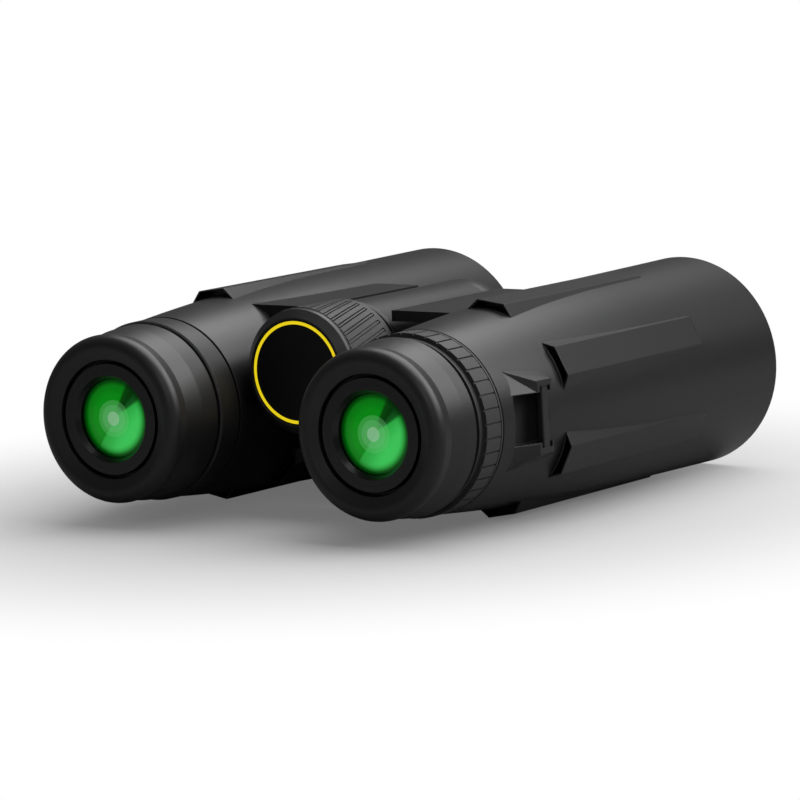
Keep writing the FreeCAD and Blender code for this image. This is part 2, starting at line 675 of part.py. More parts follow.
def prism_parts():
    """Schmidt-Pechan pair: the roof prism nearer the eyepiece, the half prism nearer the objective."""
    low, high = -PRISM_HALF_HEIGHT, PRISM_HALF_HEIGHT
    a = PRISM_START
    b = a + ROOF_PRISM_LENGTH
    c = b + HALF_PRISM_LENGTH
    slant = PRISM_AIR + 1.0
    roof = prism_along_x([(a, 6.0), (a, -6.0), (a + 4.0, low), (b - slant, high), (a + 5.0, high)], PRISM_WIDTH)
    half = prism_along_x([(b - slant + PRISM_AIR + 0.4, high), (c, high - 6.0), (c, low + 8.0), (a + 4.8, low)], PRISM_WIDTH)
    half_side = PRISM_WIDTH / 2
    room = block(-half_side, half_side, a, c, low, high)
    box = block(
        -half_side - CAGE_WALL, half_side + CAGE_WALL, a - CAGE_FLANGE_THICK, c, low - CAGE_WALL, high + CAGE_WALL
    ).common(rod(CAGE_FLANGE_RADIUS, a - CAGE_FLANGE_THICK, c))
    flange = rod(CAGE_FLANGE_RADIUS, a - CAGE_FLANGE_THICK, a)
    tunnel = rod(STOP_RADIUS - 1.0, a - CAGE_FLANGE_THICK - 1, a + 1)
    window = block(-half_side - CAGE_WALL - 1, half_side + CAGE_WALL + 1, a + 5, c - 4, low + 5, high - 5)
    cage = joined(box, flange).cut([room, tunnel, window])
    stop = ring(STOP_RADIUS - 1.5, CAGE_FLANGE_RADIUS - 4, a - CAGE_FLANGE_THICK - 0.8, a - CAGE_FLANGE_THICK)
    return {"roof_prism": [roof], "half_prism": [half], "prism_cage": [cage], "field_stop": [stop]}


# ---------------------------------------------------------------- eyepiece group


def eyepiece_mount():
    """Fixed tube screwed into the housing. The ocular slides in it and the eyecup's skirt runs over it."""
    flange_radius = barrel_radius(ARMOUR_START, ARMOUR_WALL) - 0.02
    inside = barrel_radius(ARMOUR_START + 0.5, ARMOUR_WALL + HOUSING_WALL) - 0.02
    wide_bore = MOUNT_RADIUS - MOUNT_WALL
    return turned(
        (wide_bore, MOUNT_START),
        (MOUNT_RADIUS, MOUNT_START),
        (MOUNT_RADIUS, ARMOUR_START),
        (flange_radius, ARMOUR_START),
        (flange_radius, ARMOUR_START + 0.5),
        (inside, ARMOUR_START + 0.5),
        (inside, ARMOUR_START + 0.5 + MOUNT_FLANGE),
        (MOUNT_BORE, ARMOUR_START + 0.5 + MOUNT_FLANGE),
        (MOUNT_BORE, OCULAR_STEP + 2.4),
        (wide_bore, OCULAR_STEP + 2.4),
    )


def ocular_parts():
    """Ocular tube with its three lens groups and the front retaining ring."""
    tube = turned(
        (RETAINER_FACE + 1.4, OCULAR_START),
        (OCULAR_FRONT_RADIUS, OCULAR_START),
        (OCULAR_FRONT_RADIUS, OCULAR_STEP),
        (OCULAR_REAR_RADIUS, OCULAR_STEP),
        (OCULAR_REAR_RADIUS, OCULAR_END),
        (OCULAR_BORE - 1.6, OCULAR_END),
        (OCULAR_BORE - 1.6, OCULAR_END - 2.0),
        (OCULAR_BORE, OCULAR_END - 2.0),
        (OCULAR_BORE, OCULAR_START + 2.6),
        (RETAINER_FACE + 1.4, OCULAR_START + 2.6),
    )
    retainer = turned(
        (EYE_APERTURE, EYE_LENS_Y),
        (RETAINER_FACE, OCULAR_START),
        (RETAINER_FACE + 1.4, OCULAR_START),
        (RETAINER_FACE + 1.4, OCULAR_START + 2.2),
        (EYE_APERTURE + 0.2, OCULAR_START + 2.2),
    )
    eye_lens = lens(EYE_LENS_RADIUS, OCULAR_START + 2.6, 2.4, 1.3, 0.6)
    doublet_y = OCULAR_START + 8.4
    doublet = [
        lens(OCULAR_BORE - 0.1, doublet_y, 4.0, 1.0, 2.0),
        lens(OCULAR_BORE - 0.1, doublet_y + 4.0, 4.2, -2.0, 0.4),
    ]
    field_lens = lens(OCULAR_BORE - 0.1, doublet_y + 14.0, 3.0, 0.5, 1.6)
    return {
        "ocular_tube": [tube],
        "eyepiece_retainer": [retainer],
        "eye_lens": [eye_lens],
        "eyepiece_doublet": doublet,
        "field_lens": [field_lens],
    }


def cup_rubber(end):
    """Soft eyecup: rolled rim, shallow funnel face and a slightly flared skirt."""
    rim_centre = CUP_RIM_RADIUS - CUP_RIM_ROUND
    start = CUP_RIM_ROUND
    lip_back = CORE_WEB_START - 0.1
    arc = Part.Arc(
        V(rim_centre - CUP_RIM_ROUND * 0.30, start - CUP_RIM_ROUND * 0.954, 0),
        V(rim_centre + CUP_RIM_ROUND * 0.7071, start - CUP_RIM_ROUND * 0.7071, 0),
        V(CUP_RIM_RADIUS, start, 0),
    ).toShape()
    corners = [
        V(CUP_RIM_RADIUS, start, 0),
        V(CUP_NECK_RADIUS, start + 2.6, 0),
        V(CUP_NECK_RADIUS + (CUP_TAIL_RADIUS - CUP_NECK_RADIUS) * 0.7, start + 8.0, 0),
        V(CUP_TAIL_RADIUS, end - 0.5, 0),
        V(CUP_TAIL_RADIUS - 0.4, end, 0),
        V(CORE_RADIUS, end, 0),
        V(CORE_RADIUS, lip_back, 0),
        V(CUP_MOUTH, lip_back, 0),
        V(CUP_MOUTH, CUP_FACE_DEPTH, 0),
        V(rim_centre - CUP_RIM_ROUND * 0.30, start - CUP_RIM_ROUND * 0.954, 0),
    ]
    edges = [arc] + [Part.LineSegment(a, b).toShape() for a, b in zip(corners, corners[1:])]
    wire = Part.Wire(Part.__sortEdges__(edges))
    return Part.Face(wire).revolve(ORIGIN, ALONG_Y, FULL_TURN)


def cup_parts(end):
    skirt_bore = MOUNT_RADIUS + SLIDING
    sleeve_bore = OCULAR_FRONT_RADIUS + SLIDING
    sleeve_outer = sleeve_bore + SLEEVE_WALL
    web_start = CORE_WEB_START - 0.1
    web_end = CORE_WEB_END - 0.1
    core = turned(
        (sleeve_outer + SLIDING, web_start),
        (CORE_RADIUS, web_start),
        (CORE_RADIUS, end - 0.3),
        (skirt_bore, end - 0.3),
        (skirt_bore, web_end),
        (sleeve_outer + SLIDING, web_end),
    )
    sleeve = ring(sleeve_bore, sleeve_outer, SLEEVE_START, end - 0.6)
    return {"eyecup_rubber": [cup_rubber(end)], "eyecup_core": [core], "eyecup_sleeve": [sleeve]}


def collar():
    """Plain ring between the left eyecup and the armour."""
    return turned(
        (MOUNT_RADIUS, COLLAR_START),
        (COLLAR_RADIUS - 0.5, COLLAR_START),
        (COLLAR_RADIUS - 0.1, COLLAR_START + 0.4),
        (COLLAR_RADIUS, ARMOUR_START - SEAM - 0.4),
        (COLLAR_RADIUS - 0.4, ARMOUR_START - SEAM),
        (MOUNT_RADIUS, ARMOUR_START - SEAM),
    )


def dioptre_ring():
    """Turning ring on the right eyepiece, its band cut into tiles."""
    tile_start = COLLAR_START + 0.5
    body = turned(
        (MOUNT_RADIUS + SLIDING, RING_NECK),
        (RING_NECK_RADIUS, RING_NECK),
        (RING_NECK_RADIUS, tile_start),
        (COLLAR_RADIUS, tile_start),
        (COLLAR_RADIUS, ARMOUR_START - SEAM),
        (MOUNT_RADIUS + SLIDING, ARMOUR_START - SEAM),
    )
    floor = COLLAR_RADIUS - RING_TILE_DEPTH
    half = RING_TILE_GROOVE / 2
    groove = block(floor, COLLAR_RADIUS + 1, tile_start - 1, ARMOUR_START - SEAM - 0.6, -half, half)
    grooves = [spun(groove, FULL_TURN * k / RING_TILES) for k in range(RING_TILES)]
    band = ring(floor, COLLAR_RADIUS + 1, ARMOUR_START - SEAM - 0.9, ARMOUR_START - SEAM - 0.6)
    return body.cut(grooves + [band])


# ---------------------------------------------------------------- focus drive


def focus_parts():
    hub_start = WHEEL_START + WHEEL_CAP_THICK
    grip_bore = WHEEL_RADIUS - GRIP_WALL
    hub = turned(
        (SCREW_RADIUS, hub_start),
        (grip_bore, hub_start),
        (grip_bore, WHEEL_END),
        (grip_bore - 2.0, WHEEL_END),
        (grip_bore - 2.0, hub_start + 2.4),
        (SCREW_RADIUS + 2.6, hub_start + 2.4),
        (SCREW_RADIUS + 2.6, WHEEL_END),
        (SCREW_RADIUS, WHEEL_END),
    )
    cap = turned(
        (0, WHEEL_START + BADGE_THICK),
        (BADGE_RADIUS, WHEEL_START + BADGE_THICK),
        (BADGE_RADIUS, WHEEL_START),
        (WHEEL_FACE_RADIUS, WHEEL_START),
        (WHEEL_RADIUS - WHEEL_BEVEL * 0.125, WHEEL_START + WHEEL_CAP_THICK * 0.55),
        (WHEEL_RADIUS - 0.15, WHEEL_START + WHEEL_CAP_THICK * 0.8),
        (WHEEL_RADIUS - 0.15, hub_start),
        (0, hub_start),
    )
    badge = rod(BADGE_RADIUS, WHEEL_START + 0.15, WHEEL_START + BADGE_THICK)
    sleeve = ring(grip_bore, WHEEL_RADIUS, hub_start, WHEEL_END)
    half = GRIP_GROOVE_WIDTH / 2
    end = WHEEL_END - GRIP_GROOVE_MARGIN
    floor = WHEEL_RADIUS - GRIP_GROOVE_DEPTH

    def bar(width):
        tip = Part.makeCylinder(width, 2, V(floor, end - half, 0), V(1, 0, 0))
        return joined(block(floor, floor + 2, hub_start - 2, end - half, -width, width), tip)

    slot = bar(half).cut(bar(half - GRIP_LINE))
    slot.rotate(V(0, (hub_start + end) / 2, 0), V(1, 0, 0), GRIP_SLANT)
    grip = sleeve.cut([spun(slot, FULL_TURN * k / GRIP_GROOVES) for k in range(GRIP_GROOVES)])
    return {"focus_wheel_hub": [hub], "focus_wheel_cap": [cap], "focus_wheel_badge": [badge], "focus_wheel_grip": [grip]}


def focus_screw():
    """Spindle turned by the wheel, with ring grooves at the thread's pitch where the carrier runs."""
    body = rod(SCREW_RADIUS, WHEEL_START + WHEEL_CAP_THICK, SCREW_END)
    first = CARRIER_START - FOCUS_TRAVEL
    pitch = SCREW_LEAD / 2
    count = int((SCREW_END - first) / pitch) - 1
    cuts = []
    for k in range(count):
        y = first + pitch * (k + 0.5)
        cuts.append(
            turned(
                (SCREW_RADIUS - THREAD_DEPTH, y),
                (SCREW_RADIUS + 0.1, y - 0.5),
                (SCREW_RADIUS + 0.1, y + 0.5),
            )
        )
    return body.cut(cuts)


def focus_carrier():
    """Nut that travels inside the axle, with a groove round it for each focusing arm."""
    body = ring(SCREW_RADIUS + RUNNING, AXLE_BORE - RUNNING, CARRIER_START, CARRIER_STOP)
    floor = AXLE_BORE - CARRIER_GROOVE
    half = ARM_WIDTH / 2 + 0.05
    grooves = [ring(floor, AXLE_BORE + 1, y - half, y + half) for y in (LEFT_ARM_Y, RIGHT_ARM_Y)]
    return body.cut(grooves)


def hinge_axle():
    """Hollow axle fixed in the left knuckles, slotted for the arms and flanged at the eyepiece end."""
    body = turned(
        (AXLE_BORE, BRIDGE_START - AXLE_FLANGE_THICK),
        (AXLE_FLANGE, BRIDGE_START - AXLE_FLANGE_THICK),
        (AXLE_FLANGE, BRIDGE_START),
        (AXLE_RADIUS, BRIDGE_START),
        (AXLE_RADIUS, BRIDGE_END),
        (AXLE_BORE, BRIDGE_END),
    )
    half = ARM_THICK / 2 + BODY_GAP
    reach = FOCUS_TRAVEL + ARM_WIDTH / 2 + BODY_GAP
    left = spun(block(0, AXLE_RADIUS + 1, LEFT_ARM_Y - reach, LEFT_ARM_Y + reach, -half, half), 180 + OPEN_TILT)
    swept = math.degrees(math.asin((half + 0.3) / AXLE_BORE))
    sector = hinge_sector(
        1.0,
        AXLE_RADIUS + 1,
        RIGHT_ARM_Y - reach,
        RIGHT_ARM_Y + reach,
        -OPEN_TILT - FOLD_RANGE - swept,
        -OPEN_TILT + swept,
    )
    return body.cut([left, sector])


def hinge_hardware():
    """End nut with the tripod socket, and the friction washers between the knuckles."""
    plug_start = BRIDGE_END - TRIPOD_DEPTH - 1.6
    nut = turned(
        (TRIPOD_RADIUS + 1.2, plug_start),
        (AXLE_BORE, plug_start),
        (AXLE_BORE, BRIDGE_END),
        (END_NUT_RADIUS, BRIDGE_END),
        (END_NUT_RADIUS, BRIDGE_END + END_NUT_THICK - 1.0),
        (END_NUT_RADIUS - 1.0, BRIDGE_END + END_NUT_THICK),
        (TRIPOD_RADIUS + 1.2, BRIDGE_END + END_NUT_THICK),
    )
    bush_end = BRIDGE_END + END_NUT_THICK
    bush = ring(TRIPOD_RADIUS, TRIPOD_RADIUS + 1.2, plug_start, bush_end).fuse(
        rod(TRIPOD_RADIUS + 1.2, plug_start - 1.2, plug_start)
    )
    washer_bore = AXLE_RADIUS + RUNNING
    washers = [
        ring(washer_bore, KNUCKLE_RADIUS - 1.0, y, y + BODY_GAP)
        for y in (MIDDLE_START - BODY_GAP, FRONT_START - BODY_GAP)
    ]
    return {"hinge_end_nut": [nut], "tripod_bush": [bush], "friction_washers": washers}


def spine_cover():
    """Arched cover along the top of the hinge, fixed to the left knuckles, with its far end rounded down."""
    fall = BRIDGE_END - SPINE_SHOULDER
    low = SPINE_BORE + 0.4
    middle = V(SPINE_BORE + 0.25 + SPINE_WALL * 0.72, SPINE_SHOULDER + fall * 0.6, 0)
    curve = Part.Arc(V(SPINE_RADIUS, SPINE_SHOULDER, 0), middle, V(low, BRIDGE_END, 0)).toShape()
    corners = [
        V(low, BRIDGE_END, 0),
        V(SPINE_BORE, BRIDGE_END, 0),
        V(SPINE_BORE, SPINE_START, 0),
        V(SPINE_RADIUS - 0.4, SPINE_START, 0),
        V(SPINE_RADIUS, SPINE_START + 0.6, 0),
        V(SPINE_RADIUS, SPINE_SHOULDER, 0),
    ]
    edges = [curve] + [Part.LineSegment(a, b).toShape() for a, b in zip(corners, corners[1:])]
    shell = Part.Face(Part.Wire(Part.__sortEdges__(edges))).revolve(ORIGIN, ALONG_Y, FULL_TURN)
    wedge = hinge_sector(1.0, SPINE_RADIUS + 1, SPINE_START - 1, BRIDGE_END + 1, SPINE_RIGHT_ANGLE, SPINE_LEFT_ANGLE)
    return shell.common(wedge)


def focusing_parts(side):
    """Focusing lens, its cell, and the arm that carries the cell from the carrier's groove."""
    cell_end = FOCUS_CELL_Y + FOCUS_CELL_LENGTH
    cell = turned(
        (FOCUS_LENS_RADIUS - 1.0, FOCUS_CELL_Y),
        (FOCUS_CELL_RADIUS, FOCUS_CELL_Y),
        (FOCUS_CELL_RADIUS, cell_end),
        (FOCUS_LENS_RADIUS, cell_end),
        (FOCUS_LENS_RADIUS, FOCUS_CELL_Y + 1.2),
        (FOCUS_LENS_RADIUS - 1.0, FOCUS_CELL_Y + 1.2),
    )
    glass = lens(FOCUS_LENS_RADIUS, FOCUS_CELL_Y + 1.2, 3.6, -1.0, -0.6)
    y = ARM_Y[side]
    half_width = ARM_WIDTH / 2
    half = ARM_THICK / 2
    inner = AXLE_BORE - CARRIER_GROOVE + 0.1
    radial = block(-HINGE_REACH + inner, -FOCUS_CELL_RADIUS, y - half_width, y + half_width, -half, half)
    rail = block(-FOCUS_CELL_RADIUS - ARM_RAIL, -FOCUS_CELL_RADIUS, y - half_width, cell_end, -half, half)
    arm = joined(radial, rail)
    round_end = hinge_rod(inner, y - half_width - 1, y + half_width + 1)
    return {"focus_cell": [cell], "focus_lens": [glass], "focus_arm": [arm.cut([round_end, cell])]}


# ---------------------------------------------------------------- build


def build():
    os.makedirs("parts", exist_ok=True)
    cup_ends = {"left": CUP_END, "right": RIGHT_CUP_END}
    shared = {**objective_parts(), **prism_parts(), **ocular_parts(), "strap_bar": [strap_bar()]}
    shared["eyepiece_mount"] = [eyepiece_mount()]
    for side in ("left", "right"):
        own = {**shared, **cup_parts(cup_ends[side]), **focusing_parts(side)}
        own["housing"] = [housing(side)]
        own["armour"] = [armour(side).cut(strap_bar())]
        for name, solids in own.items():
            save(side + "_" + name, *[place(s, side) for s in solids])
    save("left_eyepiece_collar", place(collar(), "left"))
    save("dioptre_ring", place(dioptre_ring(), "right"))
    centre = {**focus_parts(), **hinge_hardware()}
    centre["focus_screw"] = [focus_screw()]
    centre["focus_carrier"] = [focus_carrier()]
    centre["hinge_axle"] = [hinge_axle()]
    centre["spine_cover"] = [spine_cover()]
    for name, solids in centre.items():
        save(name, *[at_hinge(s) for s in solids])


build()
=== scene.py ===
import math

import bpy
from mathutils import Matrix, Vector

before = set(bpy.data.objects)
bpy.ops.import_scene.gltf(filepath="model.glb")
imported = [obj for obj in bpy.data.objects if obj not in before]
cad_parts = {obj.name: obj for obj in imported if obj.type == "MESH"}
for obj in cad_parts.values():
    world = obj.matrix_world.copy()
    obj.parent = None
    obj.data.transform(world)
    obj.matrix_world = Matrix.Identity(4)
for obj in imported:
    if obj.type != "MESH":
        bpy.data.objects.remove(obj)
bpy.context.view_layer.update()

MM = 0.001
HALF_IPD = 37.1 * MM  # from the middle to each barrel's axis
AXIS_Z = 26.0 * MM  # height of the barrels' axes
HINGE_Z = 35.7 * MM  # height of the hinge's and the wheel's axis

BLACK = (0.0, 0.0, 0.0)
WHITE = (1.0, 1.0, 1.0)

# ---- camera, as fitted to the view
CAMERA_AZIMUTH = 34.21
CAMERA_ELEVATION = 7.61
CAMERA_ROLL = -1.935
CAMERA_DISTANCE = 1.2189
CAMERA_LENS = 226.2
CAMERA_SENSOR = 36.0
CAMERA_NEAR = 0.05
CAMERA_FAR = 50.0
AIM = Vector((0, -4.44 * MM, 20.25 * MM))
AIM_RIGHT = 0.94 * MM
AIM_UP = 3.55 * MM

# ---- floor
FLOOR_HALF = 3.0
FLOOR_DROP = 0.02 * MM  # below the object, so that the two never coincide
FLOOR_SEEN = (0.36, 0.36, 0.36)
FLOOR_BOUNCE = (0.22, 0.22, 0.22)
FLOOR_PAINTED_SHADE_Y = -0.01  # middle of the painted broad shadow, a grey in which the cast shadow lies
FLOOR_PAINTED_SHADE_HALF_X = 0.21
FLOOR_PAINTED_SHADE_HALF_Y = 0.24
FLOOR_PAINTED_SHADE_FADE = ((0.22, (0.14, 0.14, 0.14)), (0.84, WHITE))  # share of plain white, from the middle out: a little near the middle, painted light that lifts the shadow, then rising, so the painted broad shadow fades to plain white

# ---- light: name, place, aim, width, height and power in watts
LIGHTS = (
    ("top_box", (0.12, 0.28, 0.9), (0, 0, 0.02), 1.2, 0.9, 13.5),
    ("side_box", (0.75, 0.25, 0.60), (0.03, 0, 0.02), 0.9, 0.5, 6.5),
    ("front_box", (0.5, -0.9, 0.55), (0, 0, 0.02), 0.4, 0.4, 0.9),
)
AMBIENT = 0.10

# ---- colours, linear
RUBBER = (0.0080, 0.0080, 0.0082)
EYECUP = (0.0085, 0.0085, 0.0087)
GRIP = (0.0260, 0.0260, 0.0270)
TILE = (0.0300, 0.0300, 0.0310)
PLASTIC = (0.0080, 0.0080, 0.0085)
INNER = (0.004, 0.004, 0.0045)
GLOSS = (0.004, 0.004, 0.0042)
SEAL = (0.004, 0.004, 0.004)
ANODISED = (0.010, 0.010, 0.011)
BADGE = (0.0015, 0.0015, 0.0016)
YELLOW = (0.86, 0.66, 0.01)
STEEL = (0.45, 0.45, 0.46)
BRASS = (0.62, 0.44, 0.17)
ACETAL = (0.60, 0.58, 0.52)
OBJECTIVE_COAT = (0.010, 0.085, 0.045)
CLEAR = (0.9, 0.95, 0.93)

# ---- surface, and painted shade in crevices
GRAIN_SCALE = 2600.0
GRAIN_DETAIL = 2.0
GRAIN_DEPTH = 0.04 * MM
PAINTED_CREVICE_SHADE = 0.12  # painted shade: share of the colour that is left in the deepest hollow
# painted shade ramp: full shade where the occlusion is strong, none where the surface is open
PAINTED_CREVICE_SHADE_FADE = ((0.25, WHITE), (0.95, BLACK))

# ---- badge
RING_INNER = 11.45 * MM
RING_OUTER = 12.24 * MM
RING_PAINTED_GLOW = 0.75

# ---- eye lens, with painted highlight, shade and reflections: ramps run over shares of the aperture, and a disc is radius, strength and colour
EYE_APERTURE = 9.5 * MM
EYE_PAINTED_GLOW = 0.62
# deep green of the coat, darkened towards the rim by painted shade
EYE_GREEN_RIM_SHADE = (
    (0.0, (0.002, 0.30, 0.008)),
    (0.55, (0.001, 0.26, 0.006)),
    (0.80, (0.001, 0.20, 0.005)),
    (0.95, (0.0, 0.055, 0.002)),
    (1.0, (0.0, 0.008, 0.001)),
)
EYE_INSIDE = ((0.72, WHITE), (0.94, BLACK))
EYE_OUTSIDE = ((0.18, BLACK), (0.45, WHITE))
EYE_SLANT = (0.78, -0.62)  # towards the lower right, in X and Z
# painted highlight: paler towards the lower right
EYE_PAINTED_HIGHLIGHT = ((0.02, BLACK), (0.10, (0.45, 0.45, 0.45)), (0.60, WHITE))
# painted shade: a dark band across the lens
EYE_PAINTED_SHADE_BAND = ((-0.30, BLACK), (-0.02, WHITE), (0.03, BLACK))
# painted shade: a dark wedge towards the upper right, away from the middle
EYE_WEDGE_ANGLE = math.radians(50.0)
EYE_PAINTED_SHADE_WEDGE = ((0.0, WHITE), (0.22, (0.9, 0.9, 0.9)), (0.36, BLACK))
# painted reflections: small pale discs in the middle
EYE_PAINTED_REFLECTIONS = (
    (4.4 * MM, 0.22, (0.16, 0.62, 0.20)),
    (3.3 * MM, 0.22, (0.20, 0.55, 0.26)),
    (1.7 * MM, 0.62, (0.30, 0.56, 0.34)),
)


# ---------------------------------------------------------------- materials


class Nodes:
    """A material's node tree, with short names for the steps used here."""

    def __init__(self, name):
        self.material = bpy.data.materials.new(name)
        self.material.use_nodes = True
        self.tree = self.material.node_tree
        self.shader = self.tree.nodes["Principled BSDF"]

    def add(self, kind, **settings):
        node = self.tree.nodes.new(kind)
        for key, value in settings.items():
            setattr(node, key, value)
        return node

    def link(self, source, target):
        self.tree.links.new(source, target)

    def math(self, operation, a, b=None):
        node = self.add("ShaderNodeMath", operation=operation)
        for socket, value in zip(node.inputs, (a, b)):
            if value is None:
                continue
            if isinstance(value, (int, float)):
                socket.default_value = value
            else:
                self.link(value, socket)
        return node.outputs[0]

    def mix(self, factor, a, b):
        node = self.add("ShaderNodeMix", data_type="RGBA")
        for socket, value in ((node.inputs[0], factor), (node.inputs[6], a), (node.inputs[7], b)):
            if isinstance(value, (int, float)):
                socket.default_value = value
            elif isinstance(value, tuple):
                socket.default_value = (*value, 1.0)
            else:
                self.link(value, socket)
        return node.outputs[2]

    def ramp(self, factor, stops):
        node = self.add("ShaderNodeValToRGB")
        node.color_ramp.interpolation = "EASE"
        elements = node.color_ramp.elements
        while len(elements) > 1:
            elements.remove(elements[-1])
        elements[0].position = stops[0][0]
        elements[0].color = (*stops[0][1], 1.0)
        for position, colour in stops[1:]:
            elements.new(position).color = (*colour, 1.0)
        self.link(factor, node.inputs[0])
        return node.outputs[0]

    def offset(self, centre):
        """X and Z in metres from an axis along Y."""
        place = self.add("ShaderNodeTexCoord").outputs["Object"]
        split = self.add("ShaderNodeSeparateXYZ")
        self.link(place, split.inputs[0])
        x = self.math("SUBTRACT", split.outputs[0], centre[0])
        z = self.math("SUBTRACT", split.outputs[2], centre[1])
        return x, z

    def radius(self, x, z):
        return self.math("SQRT", self.math("ADD", self.math("MULTIPLY", x, x), self.math("MULTIPLY", z, z)))


def plain(name, colour, roughness, metallic=0.0, edge=0.0, grain=0.0, crevice_shade_reach=0.0):
    """Principled material, with softened edges, a fine grain and painted shade that darkens the colour in
    crevices where asked.
    """
    m = Nodes(name)
    m.shader.inputs["Base Color"].default_value = (*colour, 1.0)
    m.shader.inputs["Roughness"].default_value = roughness
    m.shader.inputs["Metallic"].default_value = metallic
    # painted shade: ambient occlusion darkens the base colour in crevices and hollows
    if crevice_shade_reach:
        crevice_occlusion = m.add("ShaderNodeAmbientOcclusion", samples=6)
        crevice_occlusion.inputs["Distance"].default_value = crevice_shade_reach
        share = m.ramp(crevice_occlusion.outputs["AO"], PAINTED_CREVICE_SHADE_FADE)
        painted_shade_colour = tuple(PAINTED_CREVICE_SHADE * c for c in colour)
        m.link(m.mix(share, colour, painted_shade_colour), m.shader.inputs["Base Color"])
    normal = None
    if edge:
        bevel = m.add("ShaderNodeBevel", samples=4)
        bevel.inputs["Radius"].default_value = edge
        normal = bevel.outputs[0]
    if grain:
        noise = m.add("ShaderNodeTexNoise")
        noise.inputs["Scale"].default_value = GRAIN_SCALE
        noise.inputs["Detail"].default_value = GRAIN_DETAIL
        m.link(m.add("ShaderNodeTexCoord").outputs["Object"], noise.inputs["Vector"])
        bump = m.add("ShaderNodeBump")
        bump.inputs["Strength"].default_value = grain
        bump.inputs["Distance"].default_value = GRAIN_DEPTH
        m.link(noise.outputs[0], bump.inputs["Height"])
        if normal:
            m.link(normal, bump.inputs["Normal"])
        normal = bump.outputs[0]
    if normal:
        m.link(normal, m.shader.inputs["Normal"])
    return m.material


def eye_colour(m, x, z):
    """Deep green, paler to the lower right with a painted highlight, with painted shade towards the rim, in
    a dark band and in a dark wedge, and small pale discs of painted reflection.
    """
    radius = m.math("DIVIDE", m.radius(x, z), EYE_APERTURE)
    across = m.math("ADD", m.math("MULTIPLY", x, EYE_SLANT[0]), m.math("MULTIPLY", z, EYE_SLANT[1]))
    across = m.math("DIVIDE", across, EYE_APERTURE)
    turn = m.math("ABSOLUTE", m.math("SUBTRACT", m.math("ARCTAN2", z, x), EYE_WEDGE_ANGLE))
    pale = m.math("MULTIPLY", m.ramp(across, EYE_PAINTED_HIGHLIGHT), m.ramp(radius, EYE_INSIDE))
    band = m.ramp(across, EYE_PAINTED_SHADE_BAND)
    wedge = m.math("MULTIPLY", m.ramp(turn, EYE_PAINTED_SHADE_WEDGE), m.ramp(radius, EYE_OUTSIDE))
    # painted highlight, painted shade and painted reflections laid over the green
    layers = [
        (pale, 0.8, (0.06, 0.70, 0.13)),
        (band, 0.45, (0.0, 0.10, 0.004)),
        (wedge, 0.9, (0.0, 0.020, 0.001)),
    ]
    for size, strength, tint in EYE_PAINTED_REFLECTIONS:
        layers.append((m.math("LESS_THAN", m.radius(x, z), size), strength, tint))
    colour = m.ramp(radius, EYE_GREEN_RIM_SHADE)
    for share, strength, tint in layers:
        colour = m.mix(m.math("MULTIPLY", share, strength), colour, tint)
    return colour


def eye_glass(name, centre):
    """Green coated eye lens, with a painted glow that stands for light coming in from the far end."""
    m = Nodes(name)
    colour = eye_colour(m, *m.offset(centre))
    m.link(colour, m.shader.inputs["Base Color"])
    # painted glow: the lens colour, with its painted highlight and reflections, is also emitted
    m.link(colour, m.shader.inputs["Emission Color"])
    m.shader.inputs["Emission Strength"].default_value = EYE_PAINTED_GLOW
    m.shader.inputs["Roughness"].default_value = 0.15
    m.shader.inputs["Specular IOR Level"].default_value = 0.3
    return m.material


def objective_glass(name):
    """Dark green coated glass, opaque, so that nothing behind it shows."""
    m = Nodes(name)
    m.shader.inputs["Base Color"].default_value = (*OBJECTIVE_COAT, 1.0)
    m.shader.inputs["Metallic"].default_value = 0.55
    m.shader.inputs["Roughness"].default_value = 0.06
    m.shader.inputs["Coat Weight"].default_value = 1.0
    return m.material


def clear_glass(name):
    m = Nodes(name)
    m.shader.inputs["Base Color"].default_value = (*CLEAR, 1.0)
    m.shader.inputs["Roughness"].default_value = 0.03
    m.shader.inputs["Transmission Weight"].default_value = 1.0
    m.shader.inputs["IOR"].default_value = 1.52
    return m.material


def badge_plastic(name):
    """Gloss black disc with a thin yellow ring printed round it; the ring also has a painted glow."""
    m = Nodes(name)
    radius = m.radius(*m.offset((0.0, HINGE_Z)))
    beyond = m.math("GREATER_THAN", radius, RING_INNER)
    within = m.math("LESS_THAN", radius, RING_OUTER)
    ring = m.math("MULTIPLY", beyond, within)
    m.link(m.mix(ring, BADGE, YELLOW), m.shader.inputs["Base Color"])
    # painted glow: the printed yellow ring emits light, though it is no lamp
    m.link(m.mix(ring, BLACK, YELLOW), m.shader.inputs["Emission Color"])
    m.shader.inputs["Emission Strength"].default_value = RING_PAINTED_GLOW
    m.shader.inputs["Roughness"].default_value = 0.42
    m.shader.inputs["Specular IOR Level"].default_value = 0.25
    return m.material


